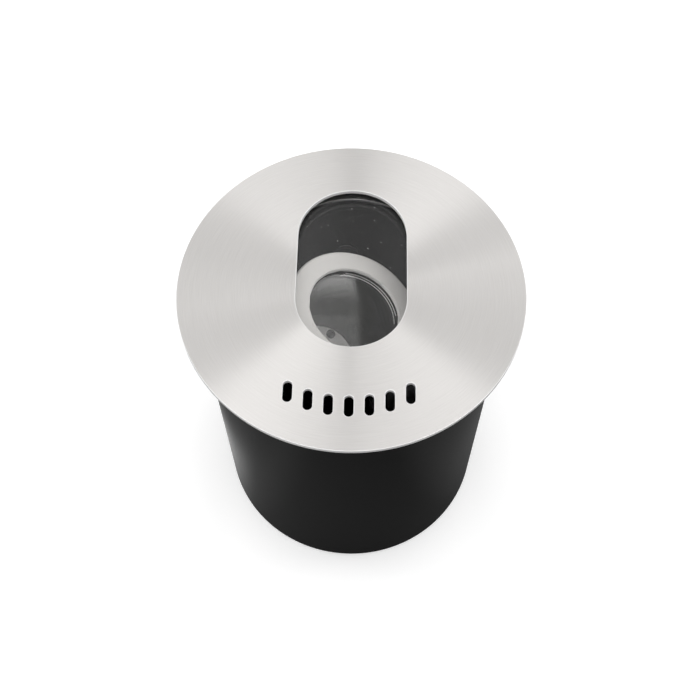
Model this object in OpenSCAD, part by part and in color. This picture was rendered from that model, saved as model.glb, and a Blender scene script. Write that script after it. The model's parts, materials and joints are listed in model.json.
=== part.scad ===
// In ground well light. A slotted steel cover with a glass port lies on a black well can, and a
// sealed lamp cup hangs below the glass, in a yoke that pans while the cup tilts.
// Millimetres. The origin is the middle of the can's base, +Z is up and the vent slots face -Y.

/* [Well can] */
// Height from the base to the top of the cover
light_h = 177.8; // [150:0.1:230]
// Outside diameter of the can
can_d = 141.3; // [139:0.1:150]
// Thickness of the can's wall
can_wall = 3.5; // [2.5:0.1:4]
// Thickness of the can's floor
floor_t = 4; // [3:0.1:6]
// Radius of the rounded edge round the foot of the can
foot_edge = 2; // [0.5:0.1:2.5]
// Diameter of the conduit bore in the floor
conduit_d = 21.6; // [16:0.1:28]
// Wall of the hub round the conduit
hub_wall = 2.9; // [2:0.1:6]
// Height of the hub above the floor
hub_h = 18; // [8:0.5:30]
// Number of drain holes in the floor
drain_count = 6; // [3:1:8]
// Diameter of one drain hole
drain_d = 8; // [4:0.5:11]
// Distance of the drain holes from the middle
drain_ring_r = 34; // [28:0.5:45]

/* [Cover] */
// Diameter of the cover plate
cover_d = 158.75; // [154:0.05:180]
// Thickness of the cover plate
cover_t = 2.2; // [1.6:0.1:3]
// Radius that eases the plate's outer edges
cover_edge = 0.5; // [0.2:0.05:0.7]
// Width of the long opening
opening_w = 50.6; // [40:0.1:56]
// Length of the long opening
opening_len = 83.5; // [70:0.1:84]
// Number of vent slots
slot_count = 7; // [1:2:7]
// Width of one vent slot
slot_w = 4.2; // [3:0.1:6]
// Length of one vent slot
slot_len = 10; // [7:0.1:11]
// Radius of the circle that the middles of the slots lie on
slot_ring_r = 58.4; // [56:0.1:58.5]
// Distance from slot to slot
slot_pitch = 8.9; // [7.5:0.1:10]

/* [Collar and clips] */
// Height of the collar under the cover
collar_h = 12; // [10.5:0.1:18]
// Wall of the collar
collar_wall = 1.2; // [0.8:0.1:1.5]
// Gap between the collar and the can, which the clips bridge
collar_gap = 1.95; // [1.5:0.05:2.2]
// Number of spring clips
clip_count = 3; // [2:1:6]
// Height of one clip
clip_h = 9; // [6:0.1:10]
// Width of one clip
clip_w = 18; // [8:0.5:30]
// Thickness of the clip's strip
clip_t = 0.6; // [0.4:0.05:0.9]

/* [Glass port] */
// Thickness of the port's gasket
gasket_t = 1.9; // [1:0.1:2.5]
// Thickness of the glass
glass_t = 4; // [3:0.1:4.5]
// Gap between the port's retainer and the back of the collar
port_gap = 0.7; // [0.5:0.05:4]
// How far the gasket covers the rim of the glass
glass_overlap = 3; // [2:0.1:3.3]
// Thickness of the retainer's sheet
retainer_t = 1.4; // [1:0.1:1.8]
// How far the retainer reaches under the glass
retainer_grip = 3.7; // [2.5:0.1:4]
// Number of studs round the port
stud_count = 6; // [3:3:6]
// Diameter of one stud
stud_d = 3; // [2.5:0.1:3.1]
// Width across the flats of a stud's nut
stud_nut_w = 5.5; // [5:0.1:5.8]
// Height of a stud's nut
stud_nut_h = 2.4; // [1.6:0.1:3]

/* [Lamp ring and cup] */
// Outside diameter of the lamp ring
ring_d = 65.4; // [63:0.1:67]
// Clear diameter inside the ring's lip
ring_bore_d = 46; // [42:0.1:48]
// Thickness of the ring's lip
lip_t = 2.4; // [1.6:0.1:2.8]
// Height of the ring
ring_h = 14; // [12.5:0.1:16]
// Wall of the ring's skirt
skirt_t = 4; // [3.6:0.1:4.2]
// Radius of the ring's soft top edge
ring_edge = 1.4; // [0.4:0.1:2]
// Depth of the middle of the ring's face below the top of the cover
face_depth = 22.3; // [22:0.1:30]
// Diameter of the lamp's own lens
lens_d = 50.8; // [49:0.1:51.5]
// Thickness of the lens
lens_t = 3.2; // [2.4:0.1:4]
// Thickness of the seal under the lens
seal_t = 1; // [0.6:0.1:1.6]
// Depth of the board's face below the ring's face
board_depth = 47; // [40:0.5:52]
// Thickness of the cup's floor
cup_floor_t = 6; // [5:0.1:8]
// Wall of the cup inside the grooves between its fins
cup_wall = 2.2; // [1.6:0.1:3]
// Number of cooling grooves round the cup
groove_count = 7; // [3:1:7]
// Width of one cooling groove
groove_w = 3; // [2:0.1:3.6]
// Distance from groove to groove
groove_pitch = 6; // [5:0.1:6.2]

/* [Light source] */
// Diameter of the light disc that the baffle leaves in view
light_disc_d = 32.4; // [26:0.1:36]
// Diameter of the board
board_d = 43; // [38:0.1:45]
// Thickness of the board
board_t = 1.6; // [1:0.1:2.4]
// Thickness of the heat pad under the board
pad_t = 0.5; // [0.3:0.1:1]
// Diameter of the emitter on the board
emitter_d = 13; // [8:0.5:18]
// Thickness of the emitter
emitter_t = 1.2; // [0.8:0.1:2]
// Number of screws that hold the board
board_screw_count = 3; // [2:1:4]
// Distance of the board's screws from the lamp's axis
board_screw_r = 13; // [11.5:0.1:13.5]

/* [Yoke and bridge] */
// Thickness of the yoke's strip
yoke_t = 2; // [1.5:0.1:3]
// Width of the yoke's strip
yoke_w = 12; // [10:0.5:20]
// Radius on the inside of the yoke's bends
yoke_bend = 3; // [1:0.1:6]
// Room between the lamp's deepest swing and the head of the pan bolt
swing_room = 12; // [4:0.1:20]
// Thickness of the bridge's sheet
bridge_t = 3; // [2:0.1:4]
// Gap between the bridge's turned down sides and the flats of the nut that they hold
nut_gap = 1; // [0.3:0.1:8]
// Depth of the bridge's turned down sides
bridge_side = 7; // [4:0.5:12]
// Gap between the ends of the bridge and the can's wall
bridge_gap = 6.15; // [3:0.05:10]
// Diameter of one post
post_d = 12; // [10:0.5:14]
// Diameter of the pan bolt
pan_bolt_d = 6; // [5:0.1:8]
// Diameter of the tilt screws' shoulders
tilt_screw_d = 5; // [4:0.1:5.4]

/* [Aim] */
// Angle by which the lamp leans
lean = 21; // [0:0.5:24]
// Direction of the lean, from +X towards +Y
lean_turn = 5.6; // [-170:0.1:170]

/* [Hidden] */

$fn = 96;

// Overrun of a cut past the face that it opens
overrun = 1;
// Gap between a screw and its hole, and between pieces that slip together
thread_gap = 0.1;
slip_gap = 0.2;
// Gap of a pin that turns in its bore, and between faces that turn on each other
run_gap = 0.06;
face_gap = 0.1;
// Gap that keeps a loose round piece off its neighbour
loose_gap = 0.3;

can_r = can_d / 2;
can_in_r = can_r - can_wall;
can_top = light_h - cover_t;

collar_r = can_in_r - collar_gap;
collar_in_r = collar_r - collar_wall;
collar_foot = can_top - collar_h;
clip_bow = collar_gap - loose_gap;

hub_slack = 0.6;
hub_in_r = conduit_d / 2 + hub_slack;
hub_r = hub_in_r + hub_wall;
hub_flange = 5;
hub_flange_t = 2;

port_margin = 0.45;
port_r = opening_len / 2 + port_margin;
glass_r = port_r + glass_overlap;
glass_top = can_top - gasket_t;
glass_foot = glass_top - glass_t;
retainer_wall = 1.1;
seat_r = glass_r + loose_gap + retainer_wall;
stud_space = 0.8;
stud_ring_r = seat_r + stud_space + stud_d / 2;
retainer_r = stud_ring_r + stud_d / 2 + stud_space;
retainer_foot = glass_foot - retainer_t;
port_shift = collar_in_r - retainer_r - port_gap;
stud_end = 1;
stud_foot = retainer_foot - stud_nut_h - stud_end;

// The lamp is drawn about its tilt axis, with its own axis along Z
pivot_depth = 5.4;
pivot_z = light_h - face_depth - pivot_depth * cos(lean);
face_z = pivot_depth;
ring_r = ring_d / 2;
ring_foot = face_z - ring_h;
skirt_in_r = ring_r - skirt_t;
tilt_pad_proud = 0.3;
tilt_pad_r = 3.8;
tilt_pad_out = ring_r + tilt_pad_proud;
tilt_washer_t = 0.6;
tilt_washer_rim = 1.2;
tilt_head_h = 2;
tilt_head_rim = 1.2;
drive_depth_share = 0.6;

lens_r = lens_d / 2;
cup_r = skirt_in_r - slip_gap;
cup_top = face_z - lip_t;
lens_foot = cup_top - lens_t;
seal_foot = lens_foot - seal_t;
baffle_t = 0.8;
baffle_seat = seal_foot - baffle_t;
groove_depth = 2.7;
groove_r = cup_r - groove_depth;
cup_bore_r = groove_r - cup_wall;
board_top = face_z - board_depth;
board_foot = board_top - board_t;
cup_floor = board_foot - pad_t;
cup_foot = cup_floor - cup_floor_t;
groove_start = ring_foot - groove_w;
baffle_gap = 0.3;
baffle_foot = board_top + baffle_gap;
baffle_top_r = cup_bore_r - loose_gap;
seal_in_r = baffle_top_r - baffle_t;

board_screw_d = 2.5;
board_screw_head_d = 4.4;
board_screw_head_h = 1.5;
board_screw_turn = 67.5;
board_screw_bite = 4;
cup_screw_count = 3;
cup_screw_d = 3;
cup_screw_head_d = 5.2;
cup_screw_head_h = 1.8;
cup_screw_bite = 3.8;
cup_screw_drop = 10;
cup_screw_z = face_z - cup_screw_drop;

gland_d = 12;
gland_boss_d = 20;
gland_boss_h = 3;
gland_hex_w = 15;
gland_hex_h = 4;
gland_bore_d = 6.5;
gland_neck_d = 10.5;
gland_neck_h = 5;
gland_cap_wall = 1.6;
gland_cap_h = 8;
gland_cap_mouth = 1.5;
gland_bush_bore_d = 4.5;
gland_seat_z = cup_foot - gland_boss_h;
gland_hex_z = gland_seat_z - gland_hex_h;
gland_cap_z = gland_hex_z - gland_cap_h;
gland_bush_h = gland_cap_h - gland_neck_h - gland_cap_mouth;

pan_washer_t = 1.5;
pan_washer_rim = 4;
pan_head_h = 4;
pan_head_w = 10;
pan_nut_h = 5;
pan_thread_end = 2;
pan_head_top = pivot_z + gland_cap_z - swing_room;
pan_head_foot = pan_head_top - pan_head_h;
yoke_floor = pan_head_foot - face_gap;
yoke_foot = yoke_floor - yoke_t;
bridge_top = yoke_foot - face_gap - pan_washer_t;
yoke_in = tilt_pad_out + tilt_washer_t + face_gap;
yoke_out = yoke_in + yoke_t;

bridge_foot = bridge_top - bridge_t;
bridge_w = pan_head_w + 2 * (bridge_t + nut_gap);
post_reach = can_in_r - bridge_gap - bridge_w / 2;
post_foot_t = 3;
post_web_t = 3;
post_hole_d = 3.6;
post_hole_depth = 16;
bracket_head_d = 7;
bracket_head_h = 2.4;

// Hexagon whose width across its flats is known
module hexagon(flats) {
    circle(d = flats / cos(30), $fn = 6);
}

// Obround along Y, with true half circles as its ends
module obround(width, length) {
    square([width, length - width], center = true);
    for (side = [-1, 1]) translate([0, side * (length - width) / 2]) circle(d = width);
}

// Hollow cylinder that stands on z
module ring(outer_r, inner_r, z, height) {
    translate([0, 0, z]) linear_extrude(height) difference() {
        circle(r = outer_r);
        circle(r = inner_r);
    }
}

// Places one child for each stop round a circle
module around(count, radius, first = 0) {
    for (i = [0 : count - 1]) rotate([0, 0, first + i * 360 / count]) translate([radius, 0, 0]) children();
}

// Turns the yoke, and all that it carries, to the direction of the lean
module panned() {
    rotate([0, 0, lean_turn]) children();
}

// Sets what is drawn about the tilt axis at its aim below the glass
module aimed() {
    translate([0, 0, pivot_z]) panned() rotate([0, lean, 0]) children();
}

// Places a child once on each end of the tilt axis, with its own Z pointing outwards
module tilt_ends() {
    for (side = [0, 180]) rotate([0, 0, side]) rotate([-90, 0, 0]) children();
}

module can_profile() {
    difference() {
        union() {
            square([can_r - foot_edge, can_top]);
            translate([0, foot_edge]) square([can_r, can_top - foot_edge]);
            translate([can_r - foot_edge, foot_edge]) circle(r = foot_edge);
        }
        translate([0, floor_t]) square([can_in_r, can_top]);
    }
}

// Well can: straight wall and a floor with the conduit bore and drain holes
module housing() {
    color([0.09, 0.09, 0.095]) difference() {
        rotate_extrude() can_profile();
        translate([0, 0, -overrun]) cylinder(d = conduit_d, h = floor_t + 2 * overrun);
        around(drain_count, drain_ring_r, 180 / drain_count)
            translate([0, 0, -overrun]) cylinder(d = drain_d, h = floor_t + 2 * overrun);
    }
}

// Flanged sleeve on the floor that guides the conduit above its bore
module conduit_hub() {
    color([0.1, 0.1, 0.1]) rotate_extrude() translate([hub_in_r, floor_t]) {
        square([hub_r - hub_in_r, hub_h]);
        square([hub_r + hub_flange - hub_in_r, hub_flange_t]);
    }
}

// Posts that carry the bridge, each with a foot as wide as the bridge and a web out to the wall
module bridge_posts() {
    web_len = can_in_r - loose_gap - post_reach;
    post_h = bridge_foot - floor_t;
    color([0.09, 0.09, 0.095]) around(2, post_reach) translate([0, 0, floor_t]) difference() {
        union() {
            cylinder(d = post_d, h = post_h);
            cylinder(d = bridge_w, h = post_foot_t);
            translate([0, -post_web_t / 2, 0]) cube([web_len, post_web_t, post_h]);
        }
        translate([0, 0, post_h - post_hole_depth]) cylinder(d = post_hole_d, h = post_hole_depth + overrun);
    }
}

// Channel across the posts that carries the yoke, its sides turned down between the posts
module bridge_bracket() {
    side_len = 2 * (post_reach - post_d / 2 - loose_gap);
    color([0.32, 0.33, 0.34]) difference() {
        union() {
            translate([0, 0, bridge_foot]) linear_extrude(bridge_t)
                rotate([0, 0, 90]) obround(bridge_w, 2 * post_reach + bridge_w);
            for (side = [-1, 1])
                translate([0, side * (bridge_w - bridge_t) / 2, bridge_top - bridge_side / 2])
                    cube([side_len, bridge_t, bridge_side], center = true);
        }
        translate([0, 0, bridge_foot - overrun])
            cylinder(d = pan_bolt_d + 2 * thread_gap, h = bridge_t + 2 * overrun);
        around(2, post_reach)
            translate([0, 0, bridge_foot - overrun])
                cylinder(d = post_hole_d + 2 * thread_gap, h = bridge_t + 2 * overrun);
    }
}

module bracket_screws() {
    color([0.75, 0.76, 0.77]) around(2, post_reach) difference() {
        union() {
            translate([0, 0, bridge_top]) cylinder(d = bracket_head_d, h = bracket_head_h);
            translate([0, 0, bridge_foot - post_hole_depth + overrun])
                cylinder(d = post_hole_d - 2 * thread_gap, h = post_hole_depth + bridge_t - overrun);
        }
        translate([0, 0, bridge_top + bracket_head_h * (1 - drive_depth_share)])
            linear_extrude(bracket_head_h) hexagon(bracket_head_d / 2);
    }
}

// Bolt that the yoke pans on, its head inside the yoke
module pan_bolt() {
    bolt_foot = bridge_foot - pan_nut_h - pan_thread_end;
    color([0.7, 0.71, 0.72]) {
        translate([0, 0, pan_head_foot]) linear_extrude(pan_head_h) hexagon(pan_head_w);
        translate([0, 0, bolt_foot]) cylinder(d = pan_bolt_d, h = pan_head_foot - bolt_foot);
    }
}

module pan_washer() {
    color([0.8, 0.8, 0.78])
        ring(pan_bolt_d / 2 + pan_washer_rim, pan_bolt_d / 2 + thread_gap, bridge_top, pan_washer_t);
}

module pan_nut() {
    color([0.7, 0.71, 0.72]) translate([0, 0, bridge_foot - pan_nut_h]) linear_extrude(pan_nut_h) difference() {
        hexagon(pan_head_w);
        circle(d = pan_bolt_d + 2 * thread_gap);
    }
}

// Half section of the bent strip: floor, bend and arm, in the plane of the bend
module yoke_section(arm_top) {
    bend_out = yoke_bend + yoke_t;
    for (side = [0, 1]) mirror([side, 0]) {
        translate([0, yoke_foot]) square([yoke_out - bend_out, yoke_t]);
        translate([yoke_in, yoke_foot + bend_out]) square([yoke_t, arm_top - yoke_foot - bend_out]);
        translate([yoke_out - bend_out, yoke_foot + bend_out]) intersection() {
            difference() {
                circle(r = bend_out);
                circle(r = yoke_bend);
            }
            translate([0, -bend_out]) square(bend_out);
        }
    }
}

// Strip bent to a U, with round arm ends about the tilt axis
module yoke() {
    arm_end = yoke_w / 2;
    color([0.07, 0.07, 0.075]) panned() difference() {
        intersection() {
            rotate([90, 0, 90]) linear_extrude(yoke_w, center = true) yoke_section(pivot_z + arm_end);
            rotate([90, 0, 0]) linear_extrude(2 * (yoke_out + overrun), center = true) {
                translate([-arm_end, yoke_foot - overrun]) square([yoke_w, pivot_z - yoke_foot + overrun]);
                translate([0, pivot_z]) circle(r = arm_end);
            }
        }
        translate([0, 0, yoke_foot - overrun])
            cylinder(d = pan_bolt_d + 2 * run_gap, h = yoke_t + 2 * overrun);
        translate([0, 0, pivot_z]) rotate([90, 0, 0])
            cylinder(d = tilt_screw_d + 2 * run_gap, h = 2 * (yoke_out + overrun), center = true);
    }
}

module ring_profile() {
    translate([ring_bore_d / 2, face_z - lip_t]) square([ring_r - ring_edge - ring_bore_d / 2, lip_t]);
    translate([skirt_in_r, ring_foot]) square([skirt_t, ring_h - ring_edge]);
    translate([ring_r - ring_edge, face_z - ring_edge]) circle(r = ring_edge);
}

// Lamp ring: lip over the lens, skirt round the cup and flat pads where the tilt screws enter
module gimbal_ring() {
    color([0.72, 0.72, 0.71]) aimed() difference() {
        union() {
            rotate_extrude() ring_profile();
            tilt_ends() translate([0, 0, ring_r - skirt_t / 2])
                cylinder(r = tilt_pad_r, h = tilt_pad_proud + skirt_t / 2);
        }
        tilt_ends() cylinder(d = tilt_screw_d + 2 * thread_gap, h = tilt_pad_out + overrun);
        around(cup_screw_count, 0) translate([0, 0, cup_screw_z]) rotate([0, 90, 0]) {
            cylinder(d = cup_screw_d + 2 * thread_gap, h = ring_r + overrun);
            translate([0, 0, ring_r - cup_screw_head_h - slip_gap])
                cylinder(d = cup_screw_head_d + 2 * slip_gap, h = cup_screw_head_h + slip_gap + overrun);
        }
    }
}

module cup_profile() {
    difference() {
        translate([0, cup_foot]) square([cup_r, cup_top - cup_foot]);
        translate([0, baffle_seat]) square([lens_r + loose_gap, cup_top - baffle_seat + overrun]);
        translate([0, cup_floor]) square([cup_bore_r, baffle_seat - cup_floor + overrun]);
        for (i = [0 : groove_count - 1])
            translate([groove_r, groove_start - i * groove_pitch]) square([cup_r, groove_w]);
    }
}

// Lamp cup: lens pocket, hollow for the baffle, cooling grooves and a boss for the gland
module lamp_cup() {
    color([0.2, 0.2, 0.21]) aimed() difference() {
        union() {
            rotate_extrude() cup_profile();
            translate([0, 0, gland_seat_z]) cylinder(d = gland_boss_d, h = gland_boss_h + cup_floor_t / 2);
        }
        translate([0, 0, gland_seat_z - overrun])
            cylinder(d = gland_d + 2 * thread_gap, h = cup_floor - gland_seat_z + 2 * overrun);
        around(board_screw_count, board_screw_r, board_screw_turn)
            translate([0, 0, cup_floor - board_screw_bite])
                cylinder(d = board_screw_d + 2 * thread_gap, h = board_screw_bite + overrun);
        around(cup_screw_count, 0) translate([0, 0, cup_screw_z]) rotate([0, 90, 0])
            translate([0, 0, cup_r - cup_screw_bite]) cylinder(d = cup_screw_d + 2 * thread_gap, h = cup_r);
    }
}

module cup_lens() {
    color([0.85, 0.9, 0.92, 0.4]) aimed() translate([0, 0, lens_foot]) cylinder(r = lens_r, h = lens_t);
}

module lens_seal() {
    color([0.06, 0.06, 0.06]) aimed() ring(lens_r, seal_in_r, seal_foot, seal_t);
}

// Dark cone between the lens and the board, hung by its flange under the seal
module baffle() {
    disc_r = light_disc_d / 2;
    color([0.3, 0.3, 0.31]) aimed() rotate_extrude() polygon([
        [lens_r, seal_foot],
        [seal_in_r, seal_foot],
        [disc_r, baffle_foot],
        [disc_r + baffle_t, baffle_foot],
        [baffle_top_r, baffle_seat],
        [lens_r, baffle_seat]
    ]);
}

module board_holes(hole_d) {
    around(board_screw_count, board_screw_r, board_screw_turn) circle(d = hole_d);
}

module heat_pad() {
    color([0.55, 0.6, 0.68]) aimed() translate([0, 0, cup_floor]) linear_extrude(pad_t) difference() {
        circle(d = board_d);
        board_holes(board_screw_d + 2 * thread_gap);
    }
}

module led_board() {
    color([0.88, 0.88, 0.86]) aimed() translate([0, 0, board_foot]) linear_extrude(board_t) difference() {
        circle(d = board_d);
        board_holes(board_screw_d + 2 * thread_gap);
    }
}

module led_emitter() {
    color([0.93, 0.8, 0.35]) aimed() translate([0, 0, board_top]) cylinder(d = emitter_d, h = emitter_t);
}

module board_screws() {
    color([0.35, 0.35, 0.36]) aimed() around(board_screw_count, board_screw_r, board_screw_turn) difference() {
        union() {
            translate([0, 0, board_top]) cylinder(d = board_screw_head_d, h = board_screw_head_h);
            translate([0, 0, cup_floor - board_screw_bite + slip_gap])
                cylinder(d = board_screw_d, h = board_top - cup_floor + board_screw_bite - slip_gap);
        }
        translate([0, 0, board_top + board_screw_head_h * (1 - drive_depth_share)])
            linear_extrude(board_screw_head_h) hexagon(board_screw_head_d / 2);
    }
}

// Screws through the ring's skirt into the cup, their heads sunk in the skirt
module cup_screws() {
    head_in = ring_r - cup_screw_head_h - slip_gap;
    shank_in = cup_r - cup_screw_bite + slip_gap;
    color([0.35, 0.35, 0.36]) aimed() around(cup_screw_count, 0)
        translate([0, 0, cup_screw_z]) rotate([0, 90, 0]) difference() {
            union() {
                translate([0, 0, head_in]) cylinder(d = cup_screw_head_d, h = cup_screw_head_h);
                translate([0, 0, shank_in]) cylinder(d = cup_screw_d, h = head_in - shank_in);
            }
            translate([0, 0, head_in + cup_screw_head_h * (1 - drive_depth_share)])
                linear_extrude(cup_screw_head_h) hexagon(cup_screw_head_d / 2);
        }
}

// Shoulder screws that the ring tilts on, one through each arm of the yoke
module tilt_screws() {
    head_in = yoke_out + face_gap;
    shank_in = skirt_in_r + slip_gap;
    color([0.7, 0.71, 0.72]) aimed() tilt_ends() difference() {
        union() {
            translate([0, 0, head_in]) cylinder(d = tilt_screw_d + 2 * tilt_head_rim, h = tilt_head_h);
            translate([0, 0, shank_in]) cylinder(d = tilt_screw_d, h = head_in - shank_in);
        }
        translate([0, 0, head_in + tilt_head_h * (1 - drive_depth_share)])
            linear_extrude(tilt_head_h) hexagon(tilt_screw_d * drive_depth_share);
    }
}

module tilt_washers() {
    color([0.85, 0.85, 0.82]) aimed() tilt_ends()
        ring(tilt_screw_d / 2 + tilt_washer_rim, tilt_screw_d / 2 + thread_gap, tilt_pad_out, tilt_washer_t);
}

// Gland under the cup: threaded stub, hexagon and neck, with a bore for the lead
module cable_gland() {
    color([0.1, 0.1, 0.1]) aimed() difference() {
        union() {
            translate([0, 0, gland_seat_z]) cylinder(d = gland_d, h = cup_floor - gland_seat_z);
            translate([0, 0, gland_hex_z]) linear_extrude(gland_hex_h) hexagon(gland_hex_w);
            translate([0, 0, gland_hex_z - gland_neck_h]) cylinder(d = gland_neck_d, h = gland_neck_h);
        }
        translate([0, 0, gland_hex_z - gland_neck_h - overrun])
            cylinder(d = gland_bore_d, h = cup_floor - gland_hex_z + gland_neck_h + 2 * overrun);
    }
}

// Rubber bush that the cap presses round the lead
module gland_bush() {
    color([0.16, 0.16, 0.16]) aimed()
        ring(gland_neck_d / 2, gland_bush_bore_d / 2, gland_cap_z + gland_cap_mouth, gland_bush_h);
}

module gland_cap() {
    cap_in_r = gland_neck_d / 2 + thread_gap;
    color([0.12, 0.12, 0.12]) aimed() difference() {
        union() {
            translate([0, 0, gland_cap_z + gland_cap_wall])
                linear_extrude(gland_cap_h - gland_cap_wall) hexagon(2 * (cap_in_r + gland_cap_wall));
            translate([0, 0, gland_cap_z])
                cylinder(r1 = cap_in_r, r2 = cap_in_r + gland_cap_wall, h = gland_cap_wall);
        }
        translate([0, 0, gland_cap_z + gland_cap_mouth]) cylinder(r = cap_in_r, h = gland_cap_h);
        translate([0, 0, gland_cap_z - overrun])
            cylinder(d = gland_bore_d, h = gland_cap_mouth + 2 * overrun);
    }
}

// Places one vent slot's shape at each of its stops
module slot_stops() {
    for (i = [0 : slot_count - 1]) {
        x = (i - (slot_count - 1) / 2) * slot_pitch;
        translate([x, -sqrt(pow(slot_ring_r, 2) - pow(x, 2))]) children();
    }
}

// Cover plate: eased rim, long opening over the port and a row of vent slots
module cover() {
    plate_r = cover_d / 2;
    color([0.78, 0.78, 0.77]) translate([0, 0, can_top]) difference() {
        rotate_extrude() {
            square([plate_r - cover_edge, cover_t]);
            translate([0, cover_edge]) square([plate_r, cover_t - 2 * cover_edge]);
            for (z = [cover_edge, cover_t - cover_edge]) translate([plate_r - cover_edge, z]) circle(r = cover_edge);
        }
        translate([0, 0, -overrun]) linear_extrude(cover_t + 2 * overrun) {
            translate([0, port_shift]) obround(opening_w, opening_len);
            slot_stops() obround(slot_w, slot_len);
        }
    }
}

module cover_collar() {
    color([0.66, 0.66, 0.66]) ring(collar_r, collar_in_r, collar_foot, collar_h);
}

// Section of a spring clip: a strip bowed outwards from the collar
module clip_section() {
    bow_r = (pow(clip_h / 2, 2) + pow(clip_bow, 2)) / (2 * clip_bow);
    intersection() {
        square([clip_bow, clip_h]);
        translate([clip_bow - bow_r, clip_h / 2]) difference() {
            circle(r = bow_r);
            circle(r = bow_r - clip_t);
        }
    }
}

module cover_clips() {
    clip_angle = clip_w / collar_r * 180 / PI;
    clip_foot = collar_foot + (collar_h - clip_h) / 2;
    color([0.6, 0.61, 0.63]) around(clip_count, 0, 90) rotate_extrude(angle = clip_angle, start = -clip_angle / 2)
        translate([collar_r, clip_foot]) clip_section();
}

// Centres a child on the port
module at_port() {
    translate([0, port_shift, 0]) children();
}

module port_gasket() {
    color([0.05, 0.05, 0.05]) at_port() ring(seat_r, port_r, glass_top, gasket_t);
}

module port_glass() {
    color([0.5, 0.53, 0.54, 0.5]) at_port() translate([0, 0, glass_foot]) cylinder(r = glass_r, h = glass_t);
}

// Pressed ring that lifts the glass against its gasket, drilled for the studs
module port_retainer() {
    color([0.6, 0.61, 0.62]) at_port() difference() {
        rotate_extrude() {
            translate([glass_r - retainer_grip, retainer_foot])
                square([retainer_r - glass_r + retainer_grip, retainer_t]);
            translate([seat_r - retainer_wall, retainer_foot])
                square([retainer_wall, glass_top - loose_gap - retainer_foot]);
        }
        around(stud_count, stud_ring_r)
            translate([0, 0, retainer_foot - overrun])
                cylinder(d = stud_d + 2 * slip_gap, h = retainer_t + 2 * overrun);
    }
}

module port_studs() {
    color([0.7, 0.7, 0.7]) at_port() around(stud_count, stud_ring_r)
        translate([0, 0, stud_foot]) cylinder(d = stud_d, h = can_top - stud_foot);
}

module port_nuts() {
    color([0.7, 0.71, 0.72]) at_port() around(stud_count, stud_ring_r)
        translate([0, 0, retainer_foot - stud_nut_h]) linear_extrude(stud_nut_h) difference() {
            hexagon(stud_nut_w);
            circle(d = stud_d + 2 * thread_gap);
        }
}

housing();
conduit_hub();
bridge_posts();
bridge_bracket();
bracket_screws();
pan_bolt();
pan_washer();
pan_nut();
yoke();
gimbal_ring();
lamp_cup();
cup_lens();
lens_seal();
baffle();
heat_pad();
led_board();
led_emitter();
board_screws();
cup_screws();
tilt_screws();
tilt_washers();
cable_gland();
gland_bush();
gland_cap();
cover();
cover_collar();
cover_clips();
port_gasket();
port_glass();
port_retainer();
port_studs();
port_nuts();
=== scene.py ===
# %% [markdown]
# # An in ground well light
#
# The light sits flush in a lawn or a path: a black can in the soil, a brushed steel cover on top,
# and below a round glass a lamp cup that can be aimed. The solids come with their true sizes, so
# this lesson only dresses them. Each step first says what the real piece is like, then how it
# could be made, and why it is made the way it is.

import json
import math

import bmesh
import bpy
import numpy as np
from mathutils import Matrix, Vector

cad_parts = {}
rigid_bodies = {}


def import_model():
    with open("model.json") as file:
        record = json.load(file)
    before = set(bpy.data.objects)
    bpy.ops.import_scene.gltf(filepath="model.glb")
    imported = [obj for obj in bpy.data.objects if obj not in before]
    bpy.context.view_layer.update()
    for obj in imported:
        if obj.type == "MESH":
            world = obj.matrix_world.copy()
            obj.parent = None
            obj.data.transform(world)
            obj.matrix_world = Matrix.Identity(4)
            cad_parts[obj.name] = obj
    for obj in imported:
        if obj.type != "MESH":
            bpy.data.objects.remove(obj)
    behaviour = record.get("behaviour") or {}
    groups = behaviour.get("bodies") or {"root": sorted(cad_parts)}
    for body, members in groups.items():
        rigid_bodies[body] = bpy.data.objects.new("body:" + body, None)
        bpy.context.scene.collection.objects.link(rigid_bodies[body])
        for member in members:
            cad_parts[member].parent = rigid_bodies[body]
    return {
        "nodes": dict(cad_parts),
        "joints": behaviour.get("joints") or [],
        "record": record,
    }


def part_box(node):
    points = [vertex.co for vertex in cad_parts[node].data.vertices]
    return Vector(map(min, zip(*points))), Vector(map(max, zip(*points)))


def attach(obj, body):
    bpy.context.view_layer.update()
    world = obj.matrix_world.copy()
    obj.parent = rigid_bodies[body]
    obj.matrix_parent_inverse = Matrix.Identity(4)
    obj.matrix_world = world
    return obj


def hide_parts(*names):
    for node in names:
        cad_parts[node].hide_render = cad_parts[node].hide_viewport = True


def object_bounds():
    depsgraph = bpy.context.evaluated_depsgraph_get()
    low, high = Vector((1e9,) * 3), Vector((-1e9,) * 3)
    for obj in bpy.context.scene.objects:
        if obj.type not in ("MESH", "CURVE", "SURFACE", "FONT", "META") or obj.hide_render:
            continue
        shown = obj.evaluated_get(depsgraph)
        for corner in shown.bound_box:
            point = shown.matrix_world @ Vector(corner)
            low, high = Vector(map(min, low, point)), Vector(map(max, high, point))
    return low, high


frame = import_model()
nodes = frame["nodes"]
cad_low, cad_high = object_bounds()
MM = 0.001
print("solids:", len(nodes), "box in mm:", [round(side / MM, 1) for side in cad_high - cad_low])

# %% [markdown]
# ## Where the lamp points
#
# The lamp leans, and its pieces are drawn about their own axis. The angle could be typed in, but
# then it would have to follow every change of the solids. The tilt joint gives the point that the
# lamp turns about and the direction of its pins. The lens is a flat disc, so the direction in
# which its points spread least is the lamp's axis.

# %% Find the lamp's axis
tilt_joint = next(joint for joint in frame["joints"] if joint["name"] == "lamp_tilt")
pivot = Vector(tilt_joint["pos_m"])
lamp_turn = math.atan2(-tilt_joint["axis"][0], tilt_joint["axis"][1])


def points_of(node):
    """The corners of a node's mesh, one row each."""
    return np.array([corner.co for corner in nodes[node].data.vertices], float)


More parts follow.
